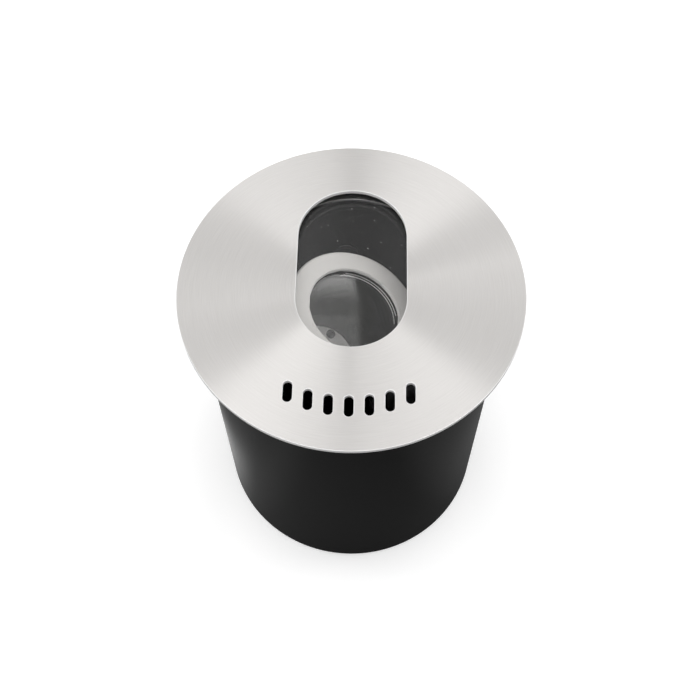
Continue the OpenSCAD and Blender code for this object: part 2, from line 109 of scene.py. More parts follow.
def flat_axis(node):
    """The direction in which a disc is thin, pointing up."""
    points = points_of(node)
    least = np.linalg.svd(points - points.mean(0), full_matrices=False)[2][2]
    return Vector(least if least[2] > 0 else -least)


lamp_lean = math.acos(flat_axis("cup_lens").z)
to_lamp = Matrix.Translation(pivot) @ Matrix.Rotation(lamp_turn, 4, "Z")
to_lamp = to_lamp @ Matrix.Rotation(lamp_lean, 4, "Y")
print("lean:", round(math.degrees(lamp_lean), 2), "turned by:", round(math.degrees(lamp_turn), 2))

# %% [markdown]
# ## Node trees as sums
#
# Shader and geometry maths reads best as plain arithmetic. A small class wraps an output, and each
# operator adds the Math node that it stands for. Any other node comes from one method, which takes
# the node's settings first and then what goes into its sockets.

# %% A socket that can be added and multiplied
class Socket:
    """An output in a node tree. Arithmetic on it adds Math nodes."""

    def __init__(self, tree, output):
        self.tree = tree
        self.output = output

    def math(self, operation, other=0.0, swapped=False):
        first, second = (other, self) if swapped else (self, other)
        return self.tree.add("ShaderNodeMath", {"operation": operation}, {0: first, 1: second})

    def __add__(self, other):
        return self.math("ADD", other)

    def __radd__(self, other):
        return self.math("ADD", other, swapped=True)

    def __sub__(self, other):
        return self.math("SUBTRACT", other)

    def __rsub__(self, other):
        return self.math("SUBTRACT", other, swapped=True)

    def __mul__(self, other):
        return self.math("MULTIPLY", other)

    def __truediv__(self, other):
        return self.math("DIVIDE", other)

    def __pow__(self, other):
        return self.math("POWER", other)


# %% A tree that takes any node
class Tree:
    """A shader or geometry tree, with one method for every kind of node."""

    def __init__(self, tree):
        self.tree = tree

    def add(self, kind, settings=None, inputs=None, output=0):
        """A new node, as the socket of one of its outputs."""
        node = self.tree.nodes.new(kind)
        for name, value in (settings or {}).items():
            setattr(node, name, value)
        for name, value in (inputs or {}).items():
            self.feed(node.inputs[name], value)
        return Socket(self, node.outputs[output])

    def feed(self, socket, value):
        """Links an output to a socket, or sets the socket to a plain value."""
        if isinstance(value, Socket):
            self.tree.links.new(value.output, socket)
        else:
            socket.default_value = value

    def split(self, vector):
        """The X and Y of a vector."""
        parts = self.add("ShaderNodeSeparateXYZ", None, {0: vector})
        return parts, Socket(self, parts.output.node.outputs[1])

    def ramp(self, value, low, high, start=0.0, end=1.0, smooth=False):
        """Maps low..high to start..end, held at both ends."""
        settings = {"interpolation_type": "SMOOTHSTEP"} if smooth else None
        inputs = {0: value, 1: low, 2: high, 3: start, 4: end}
        return self.add("ShaderNodeMapRange", settings, inputs)


# %% [markdown]
# ## A finish
#
# Every finish here is one Principled shader. What is the same all over sits on the shader's own
# sockets, and what changes over the surface is linked to its colour, its roughness or its normal.
# Object coordinates are metres in the frame of the light, so a scale of 1000 is one grain to the
# millimetre.

# %% Helpers for finishes
class Finish(Tree):
    """A material with one Principled shader."""

    def __init__(self, name, constants=None):
        self.material = bpy.data.materials.new(name)
        self.material.use_nodes = True
        super().__init__(self.material.node_tree)
        self.shader = self.tree.nodes["Principled BSDF"]
        self.place = self.add("ShaderNodeTexCoord", output="Object")
        for socket, value in (constants or {}).items():
            self.shader.inputs[socket].default_value = value

    def noise(self, scale, detail=2.0, place=None, roughness=0.5):
        return self.add("ShaderNodeTexNoise", None, {
            "Vector": self.place if place is None else place,
            "Scale": scale,
            "Detail": detail,
            "Roughness": roughness,
        })

    def colour(self, factor, dark, light):
        """A colour from dark to light, by a pattern from 0 to 1."""
        mix = self.add("ShaderNodeMix", {"data_type": "RGBA"}, {0: factor, 6: dark, 7: light}, 2)
        self.feed(self.shader.inputs["Base Color"], mix)

    def rough(self, middle, pattern, spread):
        """A roughness about a middle value, by a pattern from 0 to 1."""
        self.feed(self.shader.inputs["Roughness"], middle + (pattern - 0.5) * spread)

    def relief(self, height, depth):
        """Raises the surface by a pattern, times a depth in metres."""
        inputs = {"Height": height, "Distance": depth, "Strength": 1.0}
        self.feed(self.shader.inputs["Normal"], self.add("ShaderNodeBump", None, inputs))

    def plain(self):
        """The Principled shader itself, to mix another one with."""
        return Socket(self, self.shader.outputs[0])

    def surface(self, shader):
        """Sets another shader on the surface."""
        self.feed(self.tree.nodes["Material Output"].inputs["Surface"], shader)


def grey(value, warm=0.0):
    """A near grey, a little warmer or, below zero, cooler."""
    return (value * (1 + warm), value, value * (1 - warm), 1.0)


def blend(first, second, share):
    """Two patterns as one, in which the second has this share."""
    return first * (1 - share) + second * share


# %% [markdown]
# ## Turned steel
#
# The cover is brushed on a turntable, so fine rings run round it and light falls on it in fans.
# Real grooves would take millions of faces. Noise that changes fast with the radius and slowly
# along a ring gives the same: feeding it the radius and, much smaller, x and y keeps it free of
# any seam. The fans come from the scratches' direction, which the shader's own anisotropy gives.
# The press that cut the long opening has also rolled its edge down by a few hundredths of a
# millimetre, and that soft slope runs along the opening as a brighter band.

# %% Steel brushed in rings
NOISE_RANGE = (0.3, 0.7)
RING_LINES = 3600.0
FINE_LINES = 8800.0
FINE_SHARE = 0.6
LINE_DRIFT = 90.0
LINE_DEPTH = 0.003 * MM
ROLL_WIDTH = 2.2 * MM
ROLL_DEPTH = 0.05 * MM
OPENING = {"Opening Width": 50.6 * MM, "Opening Length": 83.5 * MM, "Opening Shift": 12.1 * MM}


def scaled(finish, place, factors):
    """A place with its X, Y and Z each made larger or smaller."""
    inputs = {0: place, 1: factors}
    return finish.add("ShaderNodeVectorMath", {"operation": "MULTIPLY"}, inputs)


def ring_lines(finish, place, lines):
    """Noise in rings about the place's Z axis, its value from 0 to 1."""
    flat = scaled(finish, place, (1.0, 1.0, 0.0))
    radius = finish.add("ShaderNodeVectorMath", {"operation": "LENGTH"}, {0: flat}, output=1)
    x, y = finish.split(scaled(finish, flat, (LINE_DRIFT, LINE_DRIFT, 0.0)))
    rings = finish.add("ShaderNodeCombineXYZ", None, {0: radius * lines, 1: x, 2: y})
    return finish.noise(1.0, place=rings)


def opening_gap(finish, width, length, shift):
    """How far a place on the cover is from the edge of its long opening."""
    x, y = finish.split(finish.place)
    beyond = ((y - shift).math("ABSOLUTE") - (length - width) / 2).math("MAXIMUM", 0.0)
    return (x * x + beyond * beyond).math("SQRT") - width / 2


def turned_steel(width, length, shift):
    brushed = {"Metallic": 1.0, "Anisotropic": 1.0, "Anisotropic Rotation": 0.25}
    finish = Finish("turned_steel", brushed)
    broad = ring_lines(finish, finish.place, RING_LINES)
    fine = ring_lines(finish, finish.place, FINE_LINES)
    lines = blend(broad, fine, FINE_SHARE)
    handling = finish.noise(42.0, detail=3.0)
    finish.colour(finish.ramp(lines, *NOISE_RANGE), grey(0.72, 0.026), grey(0.80, 0.022))
    finish.rough(0.42 + (handling - 0.5) * 0.03, lines, spread=0.10)
    roll = finish.ramp(opening_gap(finish, width, length, shift), 0.0, ROLL_WIDTH, 1.0, 0.0)
    finish.relief(lines * LINE_DEPTH - roll * roll * ROLL_DEPTH, 1.0)
    return finish.material


def cut_steel():
    """The walls and eased edges of the plate, which no brush has reached."""
    finish = Finish("cut_steel", {"Metallic": 0.3})
    streaks = finish.noise(2400.0)
    finish.colour(streaks, grey(0.80, 0.006), grey(0.92, 0.006))
    finish.rough(0.42, streaks, spread=0.1)
    return finish.material


# %% [markdown]
# ## Plain and plated metals
#
# The collar, the retainer and the screws never see a brush. Sheet keeps a faint lengthwise grain
# from the mill, zinc plating has soft cloudy patches, and spring strip is a little darker. One
# function with two tones serves all the plated ones, since they differ in nothing else.

# %% Metals below the cover
MILL_STRETCH = (1.0, 0.06, 1.0)


def mill_steel():
    finish = Finish("mill_steel", {"Metallic": 1.0})
    grain = finish.noise(900.0, 3.0, scaled(finish, finish.place, MILL_STRETCH))
    cloud = finish.noise(60.0)
    finish.colour(blend(grain, cloud, 0.4), grey(0.36), grey(0.50))
    finish.rough(0.34, grain, spread=0.2)
    finish.relief(grain, 0.01 * MM)
    return finish.material


def plated(name, dark, light, roughness):
    finish = Finish(name, {"Metallic": 1.0})
    cloud = finish.noise(220.0, detail=4.0)
    finish.colour(cloud, dark, light)
    finish.rough(roughness, cloud, spread=0.2)
    finish.relief(finish.noise(2600.0, detail=1.0), 0.006 * MM)
    return finish.material


# %% [markdown]
# ## The can
#
# The can is moulded in a black composite. Its skin is deep black with a soft sheen, and it has a
# fine and even grain of less than half a millimetre. A pattern of pits that moves the tone, the
# sheen and, by a few thousandths of a millimetre, the surface gives that grain without any faces.
# The seals, the nylon pieces and the cone round the lamp are moulded too, in other tones.

# %% Moulded plastics
def moulded(name, dark, light, roughness, grain, depth, gloss=0.2):
    finish = Finish(name, {"Specular IOR Level": gloss})
    pits = finish.noise(grain, detail=3.0, roughness=0.6)
    finish.colour(finish.ramp(pits, *NOISE_RANGE), dark, light)
    finish.rough(roughness, pits, spread=0.08)
    finish.relief(pits, depth)
    return finish.material


# %% [markdown]
# ## Paint
#
# Powder coat levels out to a soft orange peel, which is a low relief over a millimetre or two with
# a finer one on it. Two noises give both, and the paint is otherwise even. The lamp cup is a
# casting turned on a lathe before its coat, so the rings of the cover serve it too, about the
# lamp's own axis.

# %% Coated metal
PEEL_DEPTH = 0.02 * MM
LATHE_LINES = 2200.0


def coated(name, dark, light, roughness, peel, gloss=0.5):
    finish = Finish(name, {"Specular IOR Level": gloss})
    waves = finish.noise(peel, detail=1.0)
    grain = finish.noise(peel * 4)
    finish.colour(blend(waves, grain, 0.6), dark, light)
    finish.rough(roughness, grain, spread=0.1)
    finish.relief(blend(waves, grain, 0.3), PEEL_DEPTH)
    return finish.material


def along(finish, matrix):
    """The place measured in another frame, such as the leaning lamp's."""
    settled = matrix.inverted()
    return finish.add("ShaderNodeMapping", None, {
        "Vector": finish.place,
        "Location": settled.to_translation(),
        "Rotation": settled.to_euler(),
    })


def cast_cup():
    finish = Finish("cast_cup", {"Metallic": 0.6})
    rings = ring_lines(finish, along(finish, to_lamp), LATHE_LINES)
    grain = finish.noise(1400.0)
    finish.colour(blend(rings, grain, 0.5), grey(0.05), grey(0.10))
    finish.rough(0.42, rings, spread=0.12)
    finish.relief(blend(rings, grain, 0.6), 0.015 * MM)
    return finish.material


# %% [markdown]
# ## Glass
#
# Both panes are clear. In a real pane the light of the sky passes straight through, so the lamp
# below it is bright. A refracting shader alone would shade it, since shadow rays stop there. A
# Transparent shader for shadow rays and for light that has bounced off something matte lets it in,
# and the eye still meets the true glass. The port lies in the open, so dust sits on it: about one
# cell in eighteen of a Voronoi pattern carries a pale dot, and a thin haze lies over all of it.
# The painted glints on the lens are beads in a near white, half mirror finish.

# %% Clear glass and the white of the painted glints
DUST_SCALE = 700.0
DUST_CORE = 0.10
DUST_EDGE = 0.17
DUST_STEP = 0.01
DUST_COVER = 0.7
HAZE_SCALE = 5200.0
HAZE_RANGE = (0.35, 0.8)
HAZE_COVER = 0.05


def dust_on(finish, share):
    """How much dust covers each place: dots in this share of the cells, and a haze."""
    cells = finish.add("ShaderNodeTexVoronoi", None, {"Vector": finish.place, "Scale": DUST_SCALE})
    middle = Socket(finish, cells.output.node.outputs["Position"])
    chance = finish.add("ShaderNodeTexWhiteNoise", None, {0: middle})
    dots = finish.ramp(cells, DUST_EDGE, DUST_CORE)
    dots = dots * finish.ramp(chance, share, share + DUST_STEP, 1.0, 0.0)
    haze = finish.ramp(finish.noise(HAZE_SCALE, detail=1.0), *HAZE_RANGE, 0.0, HAZE_COVER)
    return dots * DUST_COVER + haze


def mixed(finish, factor, first, second):
    return finish.add("ShaderNodeMixShader", None, {0: factor, 1: first, 2: second})


def clear_glass(name, colour, ior, dust=0.0):
    clear = {"Base Color": colour, "Roughness": 0.0, "IOR": ior, "Transmission Weight": 1.0}
    finish = Finish(name, clear)
    shader = finish.plain()
    if dust:
        white = finish.add("ShaderNodeBsdfDiffuse", None, {"Color": grey(0.8)})
        shader = mixed(finish, dust_on(finish, dust), shader, white)
    shadow = finish.add("ShaderNodeLightPath", output="Is Shadow Ray")
    bounced = finish.add("ShaderNodeLightPath", output="Is Diffuse Ray")
    through = finish.add("ShaderNodeBsdfTransparent", None, {"Color": colour})
    finish.surface(mixed(finish, shadow.math("MAXIMUM", bounced), shader, through))
    return finish.material


def ground_glass():
    # Near white and half mirror: this finish paints the glints on the lens as bright lines.
    finish = Finish("ground_glass", {"Metallic": 0.4})
    glint_speckle = finish.noise(1300.0)
    finish.colour(finish.ramp(glint_speckle, 0.35, 0.6), grey(0.84), grey(1.0))
    finish.rough(0.3, glint_speckle, spread=0.2)
    return finish.material


# %% [markdown]
# ## The light source
#
# The board is coated white and a little cloudy, and the emitter is a yellow phosphor layer with a
# fine grain. A lamp that is on would need an emission here. This one is off, so both are plain
# surfaces with a small relief.

# %% Board and emitter
def board_white():
    finish = Finish("board_white", {"Roughness": 0.35})
    cloud = finish.noise(260.0, detail=3.0)
    finish.colour(cloud, grey(0.62, 0.01), grey(0.72, 0.01))
    finish.relief(cloud, 0.01 * MM)
    return finish.material


def phosphor():
    finish = Finish("phosphor", {"Roughness": 0.4})
    grain = finish.noise(5200.0)
    finish.colour(grain, (0.78, 0.55, 0.08, 1.0), (0.92, 0.74, 0.20, 1.0))
    finish.relief(grain, 0.02 * MM)
    return finish.material


# %% [markdown]
# ## Which piece gets which finish
#
# The record names a slot for every node. Each node could be dressed where it is made, but one table
# from slot to material shows all the finishes side by side and dresses every solid in one loop.

# %% Dress the solids
# moulded: dark, light, roughness, grains to the metre, depth of the grain, gloss
# coated: dark, light, roughness, waves to the metre, gloss
# plated: dark, light, roughness
# clear_glass: tint, refraction, share of dusty cells
FINISHES = {
    "can_black": (moulded, grey(0.002), grey(0.010), 0.24, 2600.0, 0.004 * MM, 0.05),
    "nylon": (moulded, grey(0.60, 0.03), grey(0.70, 0.02), 0.5, 1200.0, 0.01 * MM),
    "rubber_black": (moulded, grey(0.010), grey(0.018), 0.7, 2200.0, 0.02 * MM),
    "baffle_grey": (moulded, grey(0.022), grey(0.030), 0.45, 3200.0, 0.0004 * MM),
    "gland_black": (moulded, grey(0.012), grey(0.020), 0.45, 1500.0, 0.015 * MM),
    "pad_blue": (moulded, (0.25, 0.30, 0.38, 1.0), (0.30, 0.35, 0.43, 1.0), 0.6, 1500.0, 0.02 * MM),
    "yoke_black": (coated, grey(0.003), grey(0.007), 0.55, 700.0, 0.1),
    "ring_grey": (coated, grey(0.66, 0.014), grey(0.72, 0.014), 0.5, 900.0),
    "zinc_sheet": (plated, grey(0.30, -0.01), grey(0.46, -0.01), 0.42),
    "zinc_screw": (plated, grey(0.52, -0.01), grey(0.70, -0.01), 0.30),
    "dark_screw": (plated, grey(0.04), grey(0.08), 0.38),
    "spring_steel": (plated, grey(0.36), grey(0.50), 0.28),
    "lens_clear": (clear_glass, grey(1.0), 1.4),
    "port_glass": (clear_glass, (0.99, 0.987, 0.98, 1.0), 1.5, 0.055),
}
finishes = {name: maker(name, *values) for name, (maker, *values) in FINISHES.items()}
finishes["cover_steel"] = turned_steel(*OPENING.values())
finishes["cut_steel"] = cut_steel()
finishes["inner_steel"] = mill_steel()
finishes["cup_cast"] = cast_cup()
finishes["ground_glass"] = ground_glass()
finishes["board_white"] = board_white()
finishes["emitter_yellow"] = phosphor()
slot_of = {part["node"]: part["material_slot"] for part in frame["record"]["subparts"]}


def dress(piece, material):
    piece.data.materials.clear()
    piece.data.materials.append(material)


for name, solid in nodes.items():
    dress(solid, finishes[slot_of[name]])
print("finishes:", len(finishes), "solids dressed:", len(nodes))

# %% [markdown]
# ## Geometry trees
#
# The pieces that follow a rule are drawn by Geometry Nodes: the slotted plate, the arcs on the lens
# and the threads. Each tree gets named inputs for its sizes, and ends in real faces with one
# material, because the export drops instances. The tree is run once on an empty mesh, and what it
# makes is kept as a plain mesh.

# %% Helpers for geometry trees
KINDS = {
    int: "NodeSocketInt", float: "NodeSocketFloat", bpy.types.Material: "NodeSocketMaterial",
}


def in_scene(name, data):
    """A new object in the scene, with this data."""
    piece = bpy.data.objects.new(name, data)
    bpy.context.scene.collection.objects.link(piece)
    return piece


def geometry_tree(name, inputs):
    """A new geometry tree with named inputs. Returns it and its inputs as sockets."""
    group = bpy.data.node_groups.new(name, "GeometryNodeTree")
    group.interface.new_socket("Geometry", in_out="OUTPUT", socket_type="NodeSocketGeometry")
    for label, value in inputs.items():
        kind = next(socket for base, socket in KINDS.items() if isinstance(value, base))
        group.interface.new_socket(label, in_out="INPUT", socket_type=kind)
    tree = Tree(group)
    entry = group.nodes.new("NodeGroupInput")
    return tree, {label: Socket(tree, entry.outputs[label]) for label in inputs}


def joined(tree, parts):
    """All the parts as one geometry."""
    whole = tree.add("GeometryNodeJoinGeometry")
    for part in parts:
        tree.feed(whole.output.node.inputs[0], part)
    return whole


def moved(tree, part, y=0.0, z=0.0):
    """A part moved along Y and Z."""
    way = tree.add("ShaderNodeCombineXYZ", None, {1: y, 2: z})
    return tree.add("GeometryNodeTransform", None, {"Geometry": part, "Translation": way})


def end_tree(tree, geometry, material):
    """Ends a tree in real faces with one material, as the export needs."""
    real = tree.add("GeometryNodeRealizeInstances", None, {0: geometry})
    painted = tree.add("GeometryNodeSetMaterial", None, {"Geometry": real, "Material": material})
    leave = tree.tree.nodes.new("NodeGroupOutput")
    tree.feed(leave.inputs[0], painted)


def plain_mesh(name, tree, inputs):
    """Runs a tree on an empty mesh and returns its result as a plain mesh object."""
    maker = in_scene(name + "_maker", bpy.data.meshes.new(name + "_maker"))
    modifier = maker.modifiers.new("nodes", "NODES")
    modifier.node_group = tree.tree
    for item in tree.tree.interface.items_tree:
        if item.in_out == "INPUT":
            modifier[item.identifier] = inputs[item.name]
    graph = bpy.context.evaluated_depsgraph_get()
    mesh = bpy.data.meshes.new_from_object(maker.evaluated_get(graph), depsgraph=graph)
    maker.modifiers.remove(modifier)
    bpy.data.objects.remove(maker)
    print(name, "has", len(mesh.vertices), "corners and", len(mesh.polygons), "faces")
    return in_scene(name, mesh)


# %% [markdown]
# ## The cover
#
# The cover is one plate that follows a rule: a round outline, a long opening with half round ends
# and a row of slots whose middles lie on a circle. Its holes could be cut with booleans, which
# leave ragged faces. Here all the outlines are drawn as curves, filled in one go and given their
# thickness. The sizes are inputs, so the same tree would make any plate of this kind.

# %% The plate's tree
ROUND_STEPS = 288
SLOT_STEPS = 40
PLATE_WELD = 0.001 * MM


def circle_curve(tree, radius, steps):
    inputs = {"Resolution": steps, "Radius": radius}
    return tree.add("GeometryNodeCurvePrimitiveCircle", None, inputs)


def obround_curve(tree, width, length, steps):
    """A circle whose two halves are pulled apart along Y."""
    place = tree.add("GeometryNodeInputPosition")
    side = tree.split(place)[1].math("SIGN")
    pull = tree.add("ShaderNodeCombineXYZ", None, {1: side * (length - width) / 2})
    circle = circle_curve(tree, width / 2, steps)
    return tree.add("GeometryNodeSetPosition", None, {"Geometry": circle, "Offset": pull})


def slot_row(tree, given):
    """Slots side by side, their middles on a circle."""
    index = tree.add("GeometryNodeInputIndex")
    across = (index - (given["Slot Count"] - 1) / 2) * given["Slot Pitch"]
    down = (given["Slot Circle"] ** 2 - across * across).math("SQRT") * -1
    stop = tree.add("ShaderNodeCombineXYZ", None, {0: across, 1: down})
    points = {"Count": given["Slot Count"], "Position": stop}
    stops = tree.add("GeometryNodePoints", None, points)
    slot = obround_curve(tree, given["Slot Width"], given["Slot Length"], SLOT_STEPS)
    slots = tree.add("GeometryNodeInstanceOnPoints", None, {"Points": stops, "Instance": slot})
    return tree.add("GeometryNodeRealizeInstances", None, {0: slots})


def thickened(tree, top, thickness):
    """A closed plate below a flat fill."""
    fall = tree.add("ShaderNodeCombineXYZ", None, {2: thickness * -1})
    body = tree.add("GeometryNodeExtrudeMesh", {"mode": "FACES"}, {
        "Mesh": top, "Offset": fall, "Offset Scale": 1.0, "Individual": False,
    })
    body = tree.add("GeometryNodeFlipFaces", None, {0: body})
    shell = {"Geometry": joined(tree, (top, body)), "Distance": PLATE_WELD}
    return tree.add("GeometryNodeMergeByDistance", None, shell)


def plate_tree(sizes):
    tree, given = geometry_tree("slotted_plate", sizes)
    rim = circle_curve(tree, given["Radius"], ROUND_STEPS)
    opening = obround_curve(
        tree, given["Opening Width"], given["Opening Length"], ROUND_STEPS // 2)
    opening = moved(tree, opening, y=given["Opening Shift"])
    outlines = joined(tree, (rim, opening, slot_row(tree, given)))
    top = tree.add("GeometryNodeFillCurve", {"mode": "NGONS"}, {0: outlines})
    end_tree(tree, thickened(tree, top, given["Thickness"]), given["Material"])
    return tree


# %% [markdown]
# The plate's edges aren't sharp: the press and the brush leave them eased, and that thin round
# catches a bright line along the rim. A Bevel modifier gives it. The large faces stay flat shaded,
# so that no shading creeps over them from the edges.

# %% Make the cover
EDGE_EASE = 0.28 * MM
LEVEL_FACE = 0.9999
cover_low, cover_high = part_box("cover")
cover_r = min(cover_high.x - cover_low.x, cover_high.y - cover_low.y) / 2
plate_sizes = {
    "Radius": cover_r,
    "Thickness": cover_high.z - cover_low.z,
    **OPENING,
    "Slot Count": 7,
    "Slot Pitch": 8.9 * MM,
    "Slot Circle": 58.4 * MM,
    "Slot Width": 4.2 * MM,
    "Slot Length": 10.0 * MM,
    "Material": finishes["cover_steel"],
}


def apply_modifiers(piece):
    """Turns a piece's modifiers into plain mesh."""
    graph = bpy.context.evaluated_depsgraph_get()
    mesh = bpy.data.meshes.new_from_object(piece.evaluated_get(graph), depsgraph=graph)
    piece.modifiers.clear()
    piece.data = mesh


def ease_edges(piece, width, steps=3, angle=40.0):
    """Rounds the sharp edges of a piece."""
    bevel = piece.modifiers.new("ease", "BEVEL")
    bevel.width = width
    bevel.segments = steps
    bevel.limit_method = "ANGLE"
    bevel.angle_limit = math.radians(angle)
    apply_modifiers(piece)


def shade_plate(piece, edge=None):
    """Flat faces where a piece looks straight up or down. The others may get a finish."""
    if edge:
        piece.data.materials.append(edge)
    for face in piece.data.polygons:
        face.use_smooth = abs(face.normal.z) < LEVEL_FACE
        if edge and face.use_smooth:
            face.material_index = len(piece.data.materials) - 1


cover_plate = plain_mesh("cover_plate", plate_tree(plate_sizes), plate_sizes)
cover_plate.data.transform(Matrix.Translation((0.0, 0.0, cover_high.z)))
ease_edges(cover_plate, EDGE_EASE)
shade_plate(cover_plate, finishes["cut_steel"])
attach(cover_plate, "cover")
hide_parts("cover")

# %% [markdown]
# ## Pieces turned on a lathe
#
# The panes, like most round pieces, are one outline turned about an axis. A helper rounds the
# outline's corners, and another turns it. That way the fine round at the edge of a pane, which
# catches the light, comes out even all the way round.

# %% Round an outline's corners and turn it
CORNER_STEPS = 4
LATHE_STEPS = 144
SHARP_TURN = math.radians(50.0)


def eased(outline, radius):
    """The outline with each corner replaced by a small arc. A corner on the axis stays."""
    rounded = []
    count = len(outline)
    for i, corner in enumerate(outline):
        here = Vector(corner)
        if corner[0] == 0:
            rounded.append(here)
            continue
        back = (Vector(outline[i - 1]) - here).normalized()
        ahead = (Vector(outline[(i + 1) % count]) - here).normalized()
        half = back.angle(ahead) / 2
        centre = here + (back + ahead).normalized() * radius / math.sin(half)
        start = here + back * radius / math.tan(half) - centre
        end = here + ahead * radius / math.tan(half) - centre
        for step in range(CORNER_STEPS + 1):
            rounded.append(centre + start.slerp(end, step / CORNER_STEPS) * radius)
    return rounded


def ring_of(shape, radius, height):
    """A ring of corners about Z, or one corner on the axis."""
    turns = [math.tau * i / LATHE_STEPS for i in range(1 if radius == 0 else LATHE_STEPS)]
    places = [(radius * math.cos(turn), radius * math.sin(turn), height) for turn in turns]
    return [shape.verts.new(place) for place in places]


def turned(name, outline, material, matrix):
    """Turns a closed outline of (radius, height) about Z and sets it in place."""
    mesh = bpy.data.meshes.new(name)
    shape = bmesh.new()
    rings = [ring_of(shape, radius, height) for radius, height in outline]
    for low, high in zip(rings, rings[1:] + rings[:1]):
        for i in range(LATHE_STEPS):
            here, after = low[i % len(low)], low[(i + 1) % len(low)]
            there, beyond = high[i % len(high)], high[(i + 1) % len(high)]
            corners = list(dict.fromkeys((here, after, beyond, there)))
            if len(corners) > 2:
                shape.faces.new(corners)
    bmesh.ops.recalc_face_normals(shape, faces=shape.faces)
    shape.to_mesh(mesh)
    shape.free()
    piece = in_scene(name, mesh)
    dress(piece, material)
    mesh.set_sharp_from_angle(angle=SHARP_TURN)
    shade_plate(piece)
    mesh.transform(matrix)
    return piece


# %% [markdown]
# The port is a flat round pane that sits in its gasket, and the lens is a thicker one that leans
# with the lamp. A bevel on their solids would do for the edges, but in clear glass every facet of
# a wall shows. So both are turned anew, and each takes its size and place from its solid.

# %% The two panes
PANE_EASE = 0.35 * MM


def take_place(piece, body, node):
    """The piece rides on the body and stands for the node."""
    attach(piece, body)
    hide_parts(node)


def span_along(node, matrix):
    """The lowest and highest place of a node along a frame's Z, and its radius about that axis."""
    inside = np.array([matrix.inverted() @ Vector(point) for point in points_of(node)])
    return inside[:, 2].min(), inside[:, 2].max(), np.hypot(inside[:, 0], inside[:, 1]).max()


def disc_outline(low, high, radius):
    return eased([(0.0, low), (radius, low), (radius, high), (0.0, high)], PANE_EASE)


glass_low, glass_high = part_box("port_glass")
to_port = Matrix.Translation((0.0, (glass_low.y + glass_high.y) / 2, 0.0))
port_outline = disc_outline(*span_along("port_glass", to_port))
port_pane = turned("port_pane", port_outline, finishes["port_glass"], to_port)
take_place(port_pane, "cover", "port_glass")

lens_low, lens_high, lens_r = span_along("cup_lens", to_lamp)
lens_outline = disc_outline(lens_low, lens_high, lens_r)
lens_pane = turned("lens_pane", lens_outline, finishes["lens_clear"], to_lamp)
take_place(lens_pane, "lamp", "cup_lens")
print("lens in mm:", round(lens_r / MM, 2), "by", round((lens_high - lens_low) / MM, 2))

# %% [markdown]
# ## Painted glints on the lens
#
# On the far side, where light comes in below the ring's lip, the rim of the lens shows two thin
# white arcs of glint. A ground step in the pane itself would have to catch a lamp at the right
# angle to show. Here the glints are painted highlights: white beads swept along two arcs, which
# show from anywhere, lie only where the glints fall, and thin to nothing at both ends. The tree
# takes the radius, the angles and the width.

# %% The painted glints on the lens
ARC_STEPS = 72
ARC_SIDES = 8


def bead_along(tree, path, radius, sides):
    """A round bead swept along a path, closed at its ends."""
    section = circle_curve(tree, radius, sides)
    inputs = {0: path, "Profile Curve": section, "Fill Caps": True}
    return tree.add("GeometryNodeCurveToMesh", None, inputs)


def arc_tree(sizes):
    tree, given = geometry_tree("ground_arc", sizes)
    path = tree.add("GeometryNodeCurveArc", None, {
        "Resolution": ARC_STEPS, "Radius": given["Radius"], "Start Angle": given["Start"],
        "Sweep Angle": given["Sweep"],
    })
    share = tree.add("GeometryNodeSplineParameter")
    swell = (share * (1 - share) * 4) ** 0.5
    path = tree.add("GeometryNodeSetCurveRadius", None, {"Curve": path, "Radius": swell})
    bead = bead_along(tree, path, given["Width"] / 2, ARC_SIDES)
    end_tree(tree, bead, given["Material"])
    return tree


def painted_glint_arc(name, edge_radius, width, start, sweep):
    """A painted glint: a white arc that rests on the lower side of the lens. Its angles are in
    degrees.
    """
    sizes = {
        "Radius": edge_radius,
        "Start": math.radians(start),
        "Sweep": math.radians(sweep),
        "Width": width,
        "Material": finishes["ground_glass"],
    }
    piece = plain_mesh(name, arc_tree(sizes), sizes)
    piece.data.transform(to_lamp @ Matrix.Translation((0.0, 0.0, lens_low + width / 2)))
    piece.data.shade_smooth()
    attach(piece, "lamp")


# Two painted highlights: white arcs that stand for the glints on the lens's far rim.
painted_glint_arc("lens_edge_outer", edge_radius=22.9 * MM, width=0.46 * MM, start=6.0, sweep=88.0)
painted_glint_arc("lens_edge_inner", edge_radius=21.6 * MM, width=0.40 * MM, start=-6.0, sweep=108.0)

# %% [markdown]
# ## Screw threads
#
# The studs round the port are threaded rods, and the lip that holds the lens is cut with a fine
# thread too, which shows as bright stripes. A bump could fake them, but their outline would stay
# straight. A thread is a spiral swept with a small round bead. The tree takes the pitch and the
# length, and sets one such rod on every point of a circle.

# %% A tree for threads
BEAD_SIDES = 6
TURN_STEPS = 20
BEAD_SHARE = 0.42


def spiral_thread(tree, radius, pitch, length, bead):
    """A bead that winds up about Z, from height 0."""
    path = tree.add("GeometryNodeCurveSpiral", None, {
        "Resolution": TURN_STEPS, "Rotations": length / pitch, "Height": length,
        "Start Radius": radius, "End Radius": radius,
    })
    return bead_along(tree, path, bead, BEAD_SIDES)


def rod_tree(sizes):
    tree, given = geometry_tree("threaded_rods", sizes)
    length = given["Length"]
    bead = given["Pitch"] * BEAD_SHARE
    core_radius = given["Radius"] - bead
    thread = spiral_thread(tree, core_radius, given["Pitch"], length - bead * 2, bead)
    core = tree.add("GeometryNodeMeshCylinder", None, {
        "Vertices": TURN_STEPS, "Radius": core_radius, "Depth": length,
    })
    rod = joined(tree, (moved(tree, thread, z=bead), moved(tree, core, z=length / 2)))
    circle = {"Vertices": given["Count"], "Radius": given["Circle"]}
    stops = tree.add("GeometryNodeMeshCircle", None, circle)
    rods = tree.add("GeometryNodeInstanceOnPoints", None, {"Points": stops, "Instance": rod})
    end_tree(tree, rods, given["Material"])
    return tree


def lip_tree(sizes):
    tree, given = geometry_tree("lip_thread", sizes)
    thread = spiral_thread(tree, given["Radius"], given["Pitch"], given["Length"], given["Bead"])
    end_tree(tree, thread, given["Material"])
    return tree


